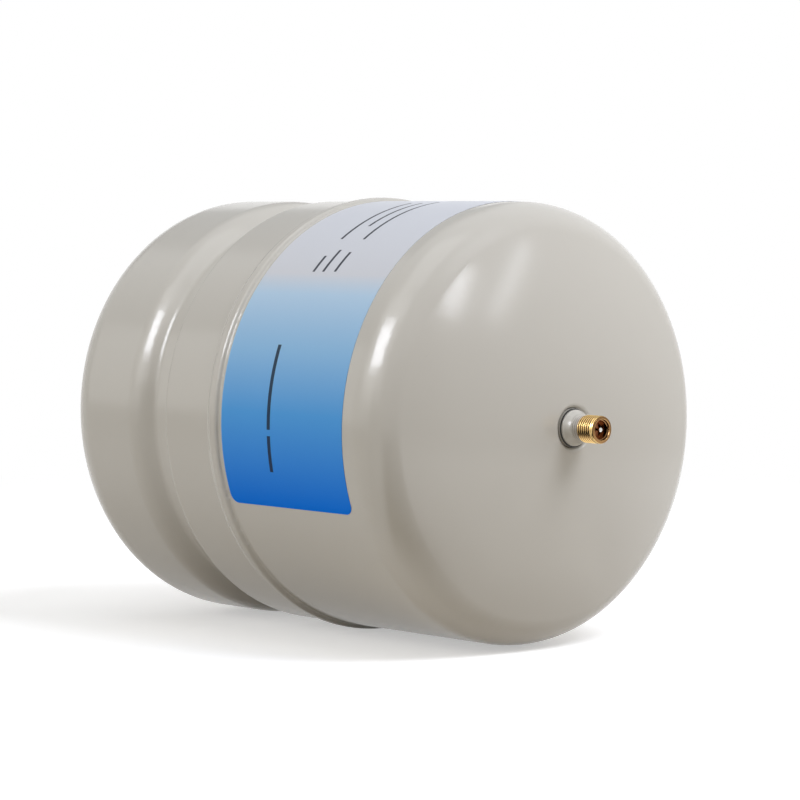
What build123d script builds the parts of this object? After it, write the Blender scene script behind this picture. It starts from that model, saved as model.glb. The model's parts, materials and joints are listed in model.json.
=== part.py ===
from build123d import *
import os
from math import asin, atan2, cos, degrees, radians, sin, sqrt, tan

# A two-litre diaphragm expansion tank, lying on its side. All sizes are in millimetres.
# The tank's axis is X. The air valve points along +X and the water connection along -X.
# The origin is the centre of the water connection, in the plane of its shoulder, where the
# face of the mating fitting stops. Sections are drawn as (x, radius) and revolved about X.

os.makedirs("parts", exist_ok=True)

# Steel body: two deep drawn halves, the water half lapping over the air half
body_diameter = 125.0
body_length = 165.9
shell_wall = 1.1
air_crown_radius = 148.0
air_knuckle_radius = 13.0
water_crown_radius = 132.0
water_knuckle_radius = 13.7

# Lap seam in the middle of the body
seam_setback = 80.7
bell_length = 1.7
joggle_length = 2.2
joggle_radius = 1.7
lap_clearance = 0.05
lap_stop_gap = 0.6
weld_edge_radius = 1.15
weld_slope = 64.0

# Groove rolled into the water half, which grips the diaphragm
groove_to_joggle = 19.8
groove_width = 14.95
groove_depth = 4.4
groove_entry_angle = 45.0
groove_exit_angle = 50.0
groove_entry_radius = 8.8
groove_floor_radius = 2.8
groove_exit_radius = 1.8
least_inner_bend = 0.3

# Lining, diaphragm and clench ring, nested inside the water half
layer_clearance = 0.1
liner_wall = 1.0
diaphragm_wall = 1.7
clench_ring_wall = 1.4
liner_overrun = 1.6
diaphragm_overrun = 4.2
rim_bead_radius = 1.45
clench_ring_flange = 2.2

# Water connection: male pipe thread for a 3/4 inch fitting, its thread drawn as a plain cylinder
thread_diameter = 26.44
thread_length = 16.0
thread_chamfer = 1.2
water_bore_diameter = 16.0
shoulder_diameter = 32.0
shoulder_to_dome = 4.0
shoulder_chamfer = 0.6
spigot_clearance = 0.05
spigot_diameter = 27.0
connection_weld_leg = 2.2

# Neck of the lining and its seal, inside the connection
neck_socket_diameter = 21.2
neck_clearance = 0.1
neck_wall = 2.0
neck_reach = 5.2
neck_setback = 0.6
seal_section = 1.3
seal_groove_length = 1.7
seal_setback = 2.2
seal_squeeze_clearance = 0.02

# Hole drawn inwards in the air dome for the valve
lip_bore_diameter = 10.9
lip_radius = 1.6
lip_length = 2.2

# Valve stem, measured from the top of the air dome
stem_reach = 10.8
stem_thread_diameter = 7.75
stem_thread_foot = 2.8
stem_tip_chamfer = 0.55
collar_diameter = 10.1
collar_top = 0.75
collar_bottom = -1.0
collar_edge = 0.3
shank_diameter = 7.9
stem_tail = 10.2
seal_clearance = 0.03
seal_lip_top = -0.05
seal_flange_diameter = 14.0
seal_flange_thickness = 1.2
valve_washer_diameter = 15.0
valve_washer_thickness = 1.0
valve_nut_across_flats = 12.0
valve_nut_thickness = 3.2
face_clearance = 0.02

# Bore of the stem, measured from its tip
mouth_diameter = 5.7
mouth_depth = 0.7
core_bore_diameter = 5.2
core_bore_depth = 6.0
core_seat_length = 1.3
air_bore_diameter = 4.1

# Valve core, measured from the tip of the stem
plug_clearance = 0.04
plug_window_radius = 2.0
plug_bridge_width = 1.7
pin_diameter = 1.0
pin_running_clearance = 0.06
pin_setback = 0.5
pin_head_diameter = 1.3
pin_head_length = 0.55
pin_head_edge = 0.22
pin_travel = 1.0
pin_travel_spare = 0.45
pin_shoulder_diameter = 2.3
pin_shoulder_length = 0.5
pin_shoulder_depth = 1.2
barrel_diameter = 3.8
barrel_length = 6.8
barrel_bore_diameter = 2.7
barrel_floor = 0.8
barrel_floor_bore = 1.7
core_seal_groove_diameter = 3.0
core_seal_length = 1.3
core_seal_setback = 0.5
core_seal_clearance = 0.02
spring_wire = 0.28
spring_turns = 6
spring_clearance = 0.06
cup_diameter = 3.3
cup_wall = 0.25
cup_depth = 1.1
cup_gap = 0.25
washer_gap = 0.03
rivet_diameter = 1.6
rivet_length = 0.45

# Label: a thin film on the air half
label_setback = 25.8
label_width = 52.4
label_low_angle = 201.0
label_sweep = 146.0
label_corner_radius = 2.8
label_film = 0.1
label_glue = 0.02

# Places along the axis that several pieces share
body_radius = body_diameter / 2
water_apex_x = shoulder_to_dome
air_apex_x = water_apex_x + body_length
bell_end_x = air_apex_x - seam_setback
bell_start_x = bell_end_x - bell_length
joggle_start_x = bell_start_x - joggle_length
bell_radius = body_radius + lap_clearance + shell_wall
groove_end_x = joggle_start_x - groove_to_joggle
groove_start_x = groove_end_x - groove_width
liner_inset = shell_wall + layer_clearance
diaphragm_inset = liner_inset + liner_wall + layer_clearance
clench_ring_inset = diaphragm_inset + diaphragm_wall + layer_clearance


def head_angle(crown, knuckle, radius):
    """Angle, seen from the crown's centre, where the crown runs into the knuckle."""
    return degrees(asin((radius - knuckle) / (crown - knuckle)))


def head_depth(crown, knuckle, radius):
    """Distance along the axis from the top of a domed head to the start of its cylinder."""
    return crown - sqrt((crown - knuckle) ** 2 - (radius - knuckle) ** 2)


def head_arcs(apex_x, facing, crown, knuckle, radius, open_angle):
    """Draws a domed head as a crown arc from open_angle outwards and a knuckle arc."""
    join = head_angle(crown, knuckle, radius)
    depth = head_depth(crown, knuckle, radius)
    if facing > 0:
        CenterArc((apex_x - crown, 0), crown, open_angle, join - open_angle)
        CenterArc((apex_x - depth, radius - knuckle), knuckle, join, 90 - join)
    else:
        CenterArc((apex_x + crown, 0), crown, 180 - open_angle, open_angle - join)
        CenterArc((apex_x + depth, radius - knuckle), knuckle, 180 - join, join - 90)
    return apex_x - facing * depth


def groove_corners(inset):
    """Corners of the rolled groove's line, at a distance in from the outer skin."""
    entry_shift = inset * tan(radians(groove_entry_angle / 2))
    exit_shift = inset * tan(radians(groove_exit_angle / 2))
    entry_run = groove_depth / tan(radians(groove_entry_angle))
    exit_run = groove_depth / tan(radians(groove_exit_angle))
    skin = body_radius - inset
    return [
        (groove_start_x - entry_shift, skin),
        (groove_start_x + entry_run - entry_shift, skin - groove_depth),
        (groove_end_x - exit_run + exit_shift, skin - groove_depth),
        (groove_end_x + exit_shift, skin),
    ]


def groove_radii(inset, wall):
    """Bend radii at the groove's corners, kept parallel to the skin where a wall allows."""
    tightest = wall + least_inner_bend
    return [
        max(groove_entry_radius - inset, tightest),
        groove_floor_radius + inset,
        groove_floor_radius + inset,
        max(groove_exit_radius - inset, tightest),
    ]


def crown_x(inset, radius):
    """Place along the axis of the water dome's line, set in from the skin, at a radius."""
    return water_apex_x + water_crown_radius - sqrt((water_crown_radius - inset) ** 2 - radius**2)


def inset_angle(radius, inset):
    """Angle, seen from the water crown's centre, of the inset dome's line at a radius."""
    return degrees(asin(radius / (water_crown_radius - inset)))


# Water half of the steel body, with its groove and the bell that laps over the air half
spigot_hole_radius = spigot_diameter / 2 + spigot_clearance
with BuildPart() as water_shell:
    with BuildSketch(Plane.XY):
        with BuildLine():
            straight_x = head_arcs(
                water_apex_x,
                -1,
                water_crown_radius,
                water_knuckle_radius,
                body_radius,
                inset_angle(spigot_hole_radius, shell_wall),
            )
            FilletPolyline(
                (straight_x, body_radius),
                *groove_corners(0),
                (joggle_start_x, body_radius),
                (bell_start_x, bell_radius),
                (bell_end_x, bell_radius),
                radius=groove_radii(0, shell_wall) + [joggle_radius, joggle_radius],
            )
            offset(amount=shell_wall, side=Side.RIGHT)
        make_face()
    revolve(axis=Axis.X)
water_shell.part.label = "water_shell"
export_step(water_shell.part, "parts/water_shell.step")

# Air half of the steel body. Its dome is drawn inwards round the valve hole.
lip_hole_radius = lip_bore_diameter / 2
lip_centre_r = lip_hole_radius + lip_radius
air_crown_centre_x = air_apex_x - air_crown_radius
lip_centre_x = air_crown_centre_x + sqrt((air_crown_radius - lip_radius) ** 2 - lip_centre_r**2)
lip_angle = degrees(atan2(lip_centre_r, lip_centre_x - air_crown_centre_x))
lip_end_x = lip_centre_x - lip_length
air_rim_x = bell_start_x + lap_stop_gap
with BuildPart() as air_shell:
    with BuildSketch(Plane.XY):
        with BuildLine():
            Line((lip_end_x, lip_hole_radius), (lip_centre_x, lip_hole_radius))
            CenterArc((lip_centre_x, lip_centre_r), lip_radius, -90, 90 + lip_angle)
            air_straight_x = head_arcs(
                air_apex_x, 1, air_crown_radius, air_knuckle_radius, body_radius, lip_angle
            )
            Line((air_straight_x, body_radius), (air_rim_x, body_radius))
            offset(amount=shell_wall, side=Side.LEFT)
        make_face()
    revolve(axis=Axis.X)
air_shell.part.label = "air_shell"
export_step(air_shell.part, "parts/air_shell.step")

# Weld that closes the lap: it rounds off the bell's edge and runs out on the air half
weld_reach = (bell_radius - body_radius) / (1 - cos(radians(weld_slope)))
weld_toe_radius = weld_reach - weld_edge_radius
weld_toe_x = bell_end_x + weld_reach * sin(radians(weld_slope))
with BuildPart() as seam_weld:
    with BuildSketch(Plane.XY):
        with BuildLine():
            CenterArc(
                (bell_end_x, bell_radius - weld_edge_radius), weld_edge_radius, 90, -weld_slope
            )
            CenterArc(
                (weld_toe_x, body_radius + weld_toe_radius),
                weld_toe_radius,
                270 - weld_slope,
                weld_slope,
            )
            Line((weld_toe_x, body_radius), (bell_end_x, body_radius))
            Line((bell_end_x, body_radius), (bell_end_x, bell_radius))
        make_face()
    revolve(axis=Axis.X)
seam_weld.part.label = "seam_weld"
export_step(seam_weld.part, "parts/seam_weld.step")

# Stainless water connection: thread, shoulder and a spigot through the dome
thread_radius = thread_diameter / 2
shoulder_radius = shoulder_diameter / 2
spigot_radius = spigot_diameter / 2
water_bore_radius = water_bore_diameter / 2
socket_radius = neck_socket_diameter / 2
shoulder_back_x = crown_x(0, spigot_hole_radius)
spigot_end_x = crown_x(shell_wall, socket_radius)
socket_floor_x = spigot_end_x - neck_reach - neck_setback
with BuildPart() as connection_nipple:
    with BuildSketch(Plane.XY):
        with BuildLine():
            Polyline(
                (-thread_length, water_bore_radius),
                (-thread_length, thread_radius - thread_chamfer),
                (thread_chamfer - thread_length, thread_radius),
                (0, thread_radius),
                (0, shoulder_radius - shoulder_chamfer),
                (shoulder_chamfer, shoulder_radius),
                (shoulder_back_x, shoulder_radius),
                (shoulder_back_x, spigot_radius),
                (spigot_end_x, spigot_radius),
                (spigot_end_x, socket_radius),
                (socket_floor_x, socket_radius),
                (socket_floor_x, water_bore_radius),
                close=True,
            )
        make_face()
    revolve(axis=Axis.X)
connection_nipple.part.label = "connection_nipple"
export_step(connection_nipple.part, "parts/connection_nipple.step")

# Fillet weld between the shoulder of the connection and the dome
connection_weld_radius = shoulder_radius + connection_weld_leg
connection_weld_foot_x = crown_x(0, connection_weld_radius)
with BuildPart() as connection_weld:
    with BuildSketch(Plane.XY):
        with BuildLine():
            Line((shoulder_back_x - connection_weld_leg, shoulder_radius),
                 (shoulder_back_x, shoulder_radius))
            Line((shoulder_back_x, shoulder_radius),
                 (crown_x(0, shoulder_radius), shoulder_radius))
            RadiusArc((crown_x(0, shoulder_radius), shoulder_radius),
                      (connection_weld_foot_x, connection_weld_radius), water_crown_radius)
            Line((connection_weld_foot_x, connection_weld_radius),
                 (shoulder_back_x - connection_weld_leg, shoulder_radius))
        make_face()
    revolve(axis=Axis.X)
connection_weld.part.label = "connection_weld"
export_step(connection_weld.part, "parts/connection_weld.step")

# Plastic lining of the water half, with a neck that enters the connection
neck_radius = socket_radius - neck_clearance
neck_end_x = spigot_end_x - neck_reach
seal_mid_radius = socket_radius - seal_section / 2
seal_x = neck_end_x + seal_setback
liner_crown = water_crown_radius - liner_inset
with BuildPart() as water_liner:
    with BuildSketch(Plane.XY):
        with BuildLine():
            straight_x = head_arcs(
                water_apex_x + liner_inset,
                -1,
                liner_crown,
                water_knuckle_radius - liner_inset,
                body_radius - liner_inset,
                inset_angle(neck_radius - neck_wall, liner_inset),
            )
            liner_corners = groove_corners(liner_inset)
            FilletPolyline(
                (straight_x, body_radius - liner_inset),
                *liner_corners,
                (liner_corners[-1][0] + liner_overrun, body_radius - liner_inset),
                radius=groove_radii(liner_inset, liner_wall),
            )
            offset(amount=liner_wall, side=Side.RIGHT)
        make_face()
    revolve(axis=Axis.X)
    with BuildSketch(Plane.XY):
        with BuildLine():
            Polyline(
                (neck_end_x, neck_radius - neck_wall),
                (neck_end_x, neck_radius),
                (crown_x(liner_inset + liner_wall / 2, neck_radius), neck_radius),
                (crown_x(liner_inset + liner_wall / 2, neck_radius), neck_radius - neck_wall),
                close=True,
            )
        make_face()
    revolve(axis=Axis.X)
    with BuildSketch(Plane.XY):
        with Locations((seal_x, seal_mid_radius)):
            Rectangle(seal_groove_length, seal_section)
    revolve(axis=Axis.X, mode=Mode.SUBTRACT)
water_liner.part.label = "water_liner"
export_step(water_liner.part, "parts/water_liner.step")

# Round rubber seal in the groove of the neck
with BuildPart() as liner_seal:
    with BuildSketch(Plane.XY):
        with Locations((seal_x, seal_mid_radius)):
            Circle(seal_section / 2 - seal_squeeze_clearance)
    revolve(axis=Axis.X)
liner_seal.part.label = "liner_seal"
export_step(liner_seal.part, "parts/liner_seal.step")

# Rubber diaphragm, pressed against the lining as the air charge leaves it in an empty tank
diaphragm_corners = groove_corners(diaphragm_inset)
bead_x = diaphragm_corners[-1][0] + diaphragm_overrun
bead_r = body_radius - shell_wall - layer_clearance - rim_bead_radius
with BuildPart() as diaphragm:
    with BuildSketch(Plane.XY):
        with BuildLine():
            straight_x = head_arcs(
                water_apex_x + diaphragm_inset,
                -1,
                water_crown_radius - diaphragm_inset,
                water_knuckle_radius - diaphragm_inset,
                body_radius - diaphragm_inset,
                0,
            )
            FilletPolyline(
                (straight_x, body_radius - diaphragm_inset),
                *diaphragm_corners,
                (bead_x, body_radius - diaphragm_inset),
                radius=groove_radii(diaphragm_inset, diaphragm_wall),
            )
            offset(amount=diaphragm_wall, side=Side.RIGHT)
        make_face()
    revolve(axis=Axis.X)
    with BuildSketch(Plane.XY):
        with Locations((bead_x, bead_r)):
            Circle(rim_bead_radius)
    revolve(axis=Axis.X)
diaphragm.part.label = "diaphragm"
export_step(diaphragm.part, "parts/diaphragm.step")

# Steel clench ring, a rolled channel that holds the diaphragm's rim in the groove
ring_corners = groove_corners(clench_ring_inset)
with BuildPart() as clench_ring:
    with BuildSketch(Plane.XY):
        with BuildLine():
            FilletPolyline(
                (ring_corners[0][0] - clench_ring_flange, body_radius - clench_ring_inset),
                *ring_corners,
                (ring_corners[-1][0] + clench_ring_flange, body_radius - clench_ring_inset),
                radius=groove_radii(clench_ring_inset, clench_ring_wall),
            )
            offset(amount=clench_ring_wall, side=Side.RIGHT)
        make_face()
    revolve(axis=Axis.X)
clench_ring.part.label = "clench_ring"
export_step(clench_ring.part, "parts/clench_ring.step")

# Turned brass valve stem, its collar in the mouth of the dome's hole
stem_tip_x = air_apex_x + stem_reach
stem_end_x = air_apex_x - stem_tail
stem_thread_radius = stem_thread_diameter / 2
collar_radius = collar_diameter / 2
collar_top_x = air_apex_x + collar_top
collar_bottom_x = air_apex_x + collar_bottom
shank_radius = shank_diameter / 2
core_bore_radius = core_bore_diameter / 2
air_bore_radius = air_bore_diameter / 2
seat_top_x = stem_tip_x - core_bore_depth
with BuildPart() as valve_stem:
    with BuildSketch(Plane.XY):
        with BuildLine():
            Polyline(
                (stem_tip_x, mouth_diameter / 2),
                (stem_tip_x, stem_thread_radius - stem_tip_chamfer),
                (stem_tip_x - stem_tip_chamfer, stem_thread_radius),
                (air_apex_x + stem_thread_foot, stem_thread_radius),
                (collar_top_x, collar_radius - collar_edge),
                (collar_top_x - collar_edge, collar_radius),
                (collar_bottom_x, collar_radius),
                (collar_bottom_x, shank_radius),
                (stem_end_x, shank_radius),
                (stem_end_x, air_bore_radius),
                (seat_top_x - core_seat_length, air_bore_radius),
                (seat_top_x, core_bore_radius),
                (stem_tip_x - mouth_depth, core_bore_radius),
                close=True,
            )
        make_face()
    revolve(axis=Axis.X)
valve_stem.part.label = "valve_stem"
export_step(valve_stem.part, "parts/valve_stem.step")

# Rubber bush between the stem and the drawn hole, with a lip round the collar
bush_outer_radius = lip_hole_radius - seal_clearance
bush_inner_radius = shank_radius + seal_clearance
bush_flange_x = lip_end_x - face_clearance
bush_end_x = bush_flange_x - seal_flange_thickness
with BuildPart() as valve_seal:
    with BuildSketch(Plane.XY):
        with BuildLine():
            Polyline(
                (air_apex_x + seal_lip_top, bush_outer_radius),
                (air_apex_x + seal_lip_top, collar_radius + seal_clearance),
                (collar_bottom_x - face_clearance, collar_radius + seal_clearance),
                (collar_bottom_x - face_clearance, bush_inner_radius),
                (bush_end_x, bush_inner_radius),
                (bush_end_x, seal_flange_diameter / 2),
                (bush_flange_x, seal_flange_diameter / 2),
                (bush_flange_x, bush_outer_radius),
                close=True,
            )
        make_face()
    revolve(axis=Axis.X)
valve_seal.part.label = "valve_seal"
export_step(valve_seal.part, "parts/valve_seal.step")

# Steel washer behind the rubber bush
valve_washer_x = bush_end_x - face_clearance
with BuildPart() as valve_washer:
    with BuildSketch(Plane.YZ.offset(valve_washer_x)):
        Circle(valve_washer_diameter / 2)
        Circle(bush_inner_radius, mode=Mode.SUBTRACT)
    extrude(amount=-valve_washer_thickness)
valve_washer.part.label = "valve_washer"
export_step(valve_washer.part, "parts/valve_washer.step")

# Hexagon nut that draws the stem tight from inside
valve_nut_x = valve_washer_x - valve_washer_thickness - face_clearance
with BuildPart() as valve_nut:
    with BuildSketch(Plane.YZ.offset(valve_nut_x)):
        RegularPolygon(valve_nut_across_flats / 2, 6, major_radius=False)
        Circle(bush_inner_radius, mode=Mode.SUBTRACT)
    extrude(amount=-valve_nut_thickness)
valve_nut.part.label = "valve_nut"
export_step(valve_nut.part, "parts/valve_nut.step")

# Plug of the valve core: a bridge across two air windows, with a hole for the pin
pin_top_x = stem_tip_x - pin_setback
plug_top_x = pin_top_x - pin_head_length - pin_travel - pin_travel_spare
plug_end_x = seat_top_x + plug_clearance
pin_radius = pin_diameter / 2
pin_hole_radius = pin_radius + pin_running_clearance
with BuildPart() as core_plug:
    with BuildSketch(Plane.YZ.offset(plug_end_x)):
        Circle(core_bore_radius - plug_clearance)
    extrude(amount=plug_top_x - plug_end_x)
    with BuildSketch(Plane.YZ.offset(plug_top_x)):
        Circle(plug_window_radius)
        Rectangle(plug_bridge_width, core_bore_diameter, mode=Mode.SUBTRACT)
    extrude(amount=plug_end_x - plug_top_x, mode=Mode.SUBTRACT)
    with BuildSketch(Plane.YZ.offset(plug_top_x)):
        Circle(pin_hole_radius)
    extrude(amount=plug_end_x - plug_top_x, mode=Mode.SUBTRACT)
core_plug.part.label = "core_plug"
export_step(core_plug.part, "parts/core_plug.step")

# Barrel of the valve core, with a floor for the spring and a groove for its seal
barrel_top_x = plug_end_x - plug_clearance
barrel_end_x = barrel_top_x - barrel_length
barrel_floor_x = barrel_end_x + barrel_floor
seal_top_x = barrel_top_x - core_seal_setback
seal_low_x = seal_top_x - core_seal_length
barrel_radius = barrel_diameter / 2
groove_radius = core_seal_groove_diameter / 2
barrel_bore_radius = barrel_bore_diameter / 2
floor_bore_radius = barrel_floor_bore / 2
with BuildPart() as core_barrel:
    with BuildSketch(Plane.XY):
        with BuildLine():
            Polyline(
                (barrel_top_x, barrel_bore_radius),
                (barrel_top_x, barrel_radius),
                (seal_top_x, barrel_radius),
                (seal_top_x, groove_radius),
                (seal_low_x, groove_radius),
                (seal_low_x, barrel_radius),
                (barrel_end_x, barrel_radius),
                (barrel_end_x, floor_bore_radius),
                (barrel_floor_x, floor_bore_radius),
                (barrel_floor_x, barrel_bore_radius),
                close=True,
            )
        make_face()
    revolve(axis=Axis.X)
core_barrel.part.label = "core_barrel"
export_step(core_barrel.part, "parts/core_barrel.step")

# Conical seal of the valve core, seated on the taper inside the stem
seat_slope = (core_bore_radius - air_bore_radius) / core_seat_length
seat_end_x = seat_top_x - core_seat_length
seal_inner_radius = groove_radius + core_seal_clearance
seal_top_radius = air_bore_radius + (seal_top_x - seat_end_x) * seat_slope - core_seal_clearance
seal_low_radius = air_bore_radius - core_seal_clearance
with BuildPart() as core_seal:
    with BuildSketch(Plane.XY):
        with BuildLine():
            Polyline(
                (seal_top_x - core_seal_clearance, seal_inner_radius),
                (seal_top_x - core_seal_clearance, seal_top_radius - core_seal_clearance),
                (seat_end_x, seal_low_radius),
                (seal_low_x + core_seal_clearance, seal_low_radius),
                (seal_low_x + core_seal_clearance, seal_inner_radius),
                close=True,
            )
        make_face()
    revolve(axis=Axis.X)
core_seal.part.label = "core_seal"
export_step(core_seal.part, "parts/core_seal.step")

# Pin of the valve core, with a head to press, a shoulder for the spring and a riveted end
pin_shoulder_x = barrel_top_x - pin_shoulder_depth
spring_top_x = pin_shoulder_x - pin_shoulder_length
cup_top_x = barrel_end_x - cup_gap
cup_end_x = cup_top_x - cup_depth
rivet_x = cup_end_x - face_clearance
head_radius = pin_head_diameter / 2
with BuildPart() as core_pin:
    with BuildSketch(Plane.XY):
        with BuildLine():
            Polyline(
                (pin_top_x, 0),
                (rivet_x - rivet_length, 0),
                (rivet_x - rivet_length, rivet_diameter / 2),
                (rivet_x, rivet_diameter / 2),
                (rivet_x, pin_radius),
                (spring_top_x, pin_radius),
                (spring_top_x, pin_shoulder_diameter / 2),
                (pin_shoulder_x, pin_shoulder_diameter / 2),
                (pin_shoulder_x, pin_radius),
                (pin_top_x - pin_head_length, pin_radius),
                (pin_top_x - pin_head_length, head_radius),
                (pin_top_x, head_radius),
                close=True,
            )
        make_face()
    revolve(axis=Axis.X)
    fillet(core_pin.edges().group_by(Axis.X)[-1], pin_head_edge)
core_pin.part.label = "core_pin"
export_step(core_pin.part, "parts/core_pin.step")

# Coil spring between the barrel's floor and the pin's shoulder
spring_radius = (barrel_bore_diameter - spring_wire) / 2 - spring_clearance
spring_low_x = barrel_floor_x + spring_wire / 2 + spring_clearance
spring_height = spring_top_x - spring_wire / 2 - spring_clearance - spring_low_x
with BuildPart() as core_spring:
    with BuildLine():
        coil = Helix(
            pitch=spring_height / spring_turns,
            height=spring_height,
            radius=spring_radius,
            center=(spring_low_x, 0, 0),
            direction=(1, 0, 0),
        )
    with BuildSketch(Plane(origin=coil @ 0, z_dir=coil % 0)):
        Circle(spring_wire / 2)
    sweep(is_frenet=True)
core_spring.part.label = "core_spring"
export_step(core_spring.part, "parts/core_spring.step")

# Cup on the pin's lower end, open towards the barrel
cup_radius = cup_diameter / 2
cup_hole_radius = pin_radius + face_clearance
with BuildPart() as core_cup:
    with BuildSketch(Plane.YZ.offset(cup_top_x)):
        Circle(cup_radius)
    extrude(amount=-cup_depth)
    with BuildSketch(Plane.YZ.offset(cup_top_x)):
        Circle(cup_radius - cup_wall)
    extrude(amount=cup_wall - cup_depth, mode=Mode.SUBTRACT)
    with BuildSketch(Plane.YZ.offset(cup_top_x)):
        Circle(cup_hole_radius)
    extrude(amount=-cup_depth, mode=Mode.SUBTRACT)
core_cup.part.label = "core_cup"
export_step(core_cup.part, "parts/core_cup.step")

# Rubber washer in the cup, which closes the barrel's lower end
core_washer_top_x = barrel_end_x - washer_gap
core_washer_end_x = cup_end_x + cup_wall + face_clearance
with BuildPart() as core_washer:
    with BuildSketch(Plane.YZ.offset(core_washer_end_x)):
        Circle(cup_radius - cup_wall - face_clearance)
        Circle(cup_hole_radius, mode=Mode.SUBTRACT)
    extrude(amount=core_washer_top_x - core_washer_end_x)
core_washer.part.label = "core_washer"
export_step(core_washer.part, "parts/core_washer.step")

# Label film, a curved sheet with rounded corners
label_right_x = air_apex_x - label_setback
film_radius = body_radius + label_glue
label_top_plane = Plane.XY.rotated((label_low_angle - label_sweep, 0, 0))
with BuildPart() as label:
    with BuildSketch(label_top_plane):
        with BuildLine():
            Polyline(
                (label_right_x, film_radius),
                (label_right_x, film_radius + label_film),
                (label_right_x - label_width, film_radius + label_film),
                (label_right_x - label_width, film_radius),
                close=True,
            )
        make_face()
    revolve(axis=Axis.X, revolution_arc=label_sweep)
    corners = label.edges().filter_by(lambda edge: edge.length < 2 * label_film)
    fillet(corners, label_corner_radius)
label.part.label = "label"
export_step(label.part, "parts/label.step")
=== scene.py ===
"""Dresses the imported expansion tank: enamelled steel body, printed label, brass air valve and
stainless water connection, on a pale floor under soft studio light. All values are in metres."""

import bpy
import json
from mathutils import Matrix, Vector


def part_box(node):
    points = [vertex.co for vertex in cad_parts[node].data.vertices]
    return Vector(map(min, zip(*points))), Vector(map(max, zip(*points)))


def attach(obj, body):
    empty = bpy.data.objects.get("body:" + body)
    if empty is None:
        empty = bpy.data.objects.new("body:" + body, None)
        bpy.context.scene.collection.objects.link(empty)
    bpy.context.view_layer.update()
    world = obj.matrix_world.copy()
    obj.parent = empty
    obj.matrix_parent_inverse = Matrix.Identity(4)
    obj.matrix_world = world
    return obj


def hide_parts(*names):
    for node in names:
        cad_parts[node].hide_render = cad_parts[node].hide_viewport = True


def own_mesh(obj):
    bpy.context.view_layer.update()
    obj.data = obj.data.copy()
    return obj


bl_info = {
    "name": "Expansion Tank",
    "version": (1, 0, 0),
    "blender": (4, 5, 0),
    "location": "View3D > Sidebar > Tank",
    "description": "Builds the looks of a small diaphragm expansion tank round its CAD frame",
    "category": "Object",
}

import json
import math
import random

import bmesh
import bpy
from mathutils import Quaternion, Vector, noise

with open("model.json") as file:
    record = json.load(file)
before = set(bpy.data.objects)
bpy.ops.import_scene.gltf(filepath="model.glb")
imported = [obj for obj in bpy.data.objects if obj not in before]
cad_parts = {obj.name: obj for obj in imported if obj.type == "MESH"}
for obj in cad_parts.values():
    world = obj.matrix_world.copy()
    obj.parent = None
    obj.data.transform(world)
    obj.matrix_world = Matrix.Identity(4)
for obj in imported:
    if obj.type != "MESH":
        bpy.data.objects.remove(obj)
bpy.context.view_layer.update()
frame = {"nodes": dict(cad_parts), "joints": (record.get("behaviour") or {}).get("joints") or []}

NODES = frame["nodes"]
STEM_LOW, STEM_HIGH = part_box("valve_stem")
NIPPLE_LOW, NIPPLE_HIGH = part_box("connection_nipple")
SEAM_LOW, SEAM_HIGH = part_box("seam_weld")
JOINT_WELD_LOW, JOINT_WELD_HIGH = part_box("connection_weld")
SPRING_LOW, SPRING_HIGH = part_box("core_spring")
BODY_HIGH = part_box("air_shell")[1]
BUSH_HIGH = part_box("valve_seal")[1]
NIPPLE_CREST = 0.01322
STEM_CREST, STEM_BORE = 0.003875, 0.0026

# Points nearer to each other than this are one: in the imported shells, and in the meshes made here.
SHELL_GAP, POINT_GAP = 0.000002, 0.0000002
# Edges bent by more degrees than this stay sharp, and on the welds only those past the second.
CREASE, WELD_CREASE = 32, 60

# Noise is drawn out this much round the axis to look like the rings of a lathe.
LATHE_STRETCH = (1, 0.02, 0.02)

TANK_MIDDLE = 0.09
FLOOR_HEIGHT = SEAM_LOW.z
STAGE_REACH = 6.0
# Width of the camera's film in millimetres, and how far it sees in metres.
FILM_WIDTH, CAMERA_SIGHT = 36, 50

# Lamps as (name, turn from -Y towards +X, height angle, distance, size, roll, watts, seen in
# gloss). Angles are in degrees.
LAMPS = (
    ("right_top_box", 110, 50, 1.2, (0.6, 0.6), 0, 9.4, False),
    ("overhead_box", 20, 78, 1.3, (0.8, 0.8), 0, 2.3, True),
    ("front_box", -25, 15, 1.2, (1.6, 0.65), 0, 2.9, True),
    ("front_fill", 0, 15, 1.2, (1.2, 0.9), 0, 3.1, False),
    ("back_box", 150, 20, 1.2, (0.8, 0.8), 0, 4.2, False),
    ("front_lamp", 6, 35, 1.0, (0.44, 0.36), 0, 6.4, True),
    ("halo_lamp", 6, 35, 1.05, (0.95, 0.95), 0, 4.0, True),
    ("side_lamp", 103.5, 25.5, 1.0, (0.21, 0.03), 48, 0.5, True),
    ("far_lamp", 119.5, 25, 1.0, (0.36, 0.035), 36, 0.34, True),
)
# The lamps whose names end so only draw highlights, and add no light to a surface.
HIGHLIGHT_ENDING = "_lamp"
# These lamps are a little cooler than the rest.
COOL_LAMPS = ("right_top_box", "front_lamp", "side_lamp", "far_lamp")
COOL_LIGHT = (0.90, 0.925, 1.0)

# Cards beside the tank as (name, first and last turn, near and far reach, near and far height
# above the floor, width of the faded near edge, brightness). They glow and show in its gloss
# alone, as painted reflections: the black card paints the shade of the floor near the tank, and
# the bright card a pool of light on the floor.
CARDS = (
    ("black_card", (36, 80), (0.08, 0.9), (0.0006, 0.0006), 0.05, 0.0),
    ("bright_card", (82, 128), (0.085, 0.5), (0.0006, 0.0006), 0.03, 1.75),
    ("grey_card", (48, 98), (0.9, 0.9), (0.0, 0.36), 0.0, 0.65),
    ("dark_card", (-142, -90), (1.13, 0.77), (0.47, 0.98), 0.0, 0.45),
)
# Half the width, in degrees, of the strip in which a card fades out at each of its two sides.
CARD_FADE = 4

# Where the label starts and ends round the axis, in degrees from the far side over the top, and
# the places of its five colours as shares of that turn.
LABEL_START, LABEL_END = 55, 201
FIELD_PLACES = (0.565, 0.61, 0.72, 0.83, 1.0)

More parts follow.
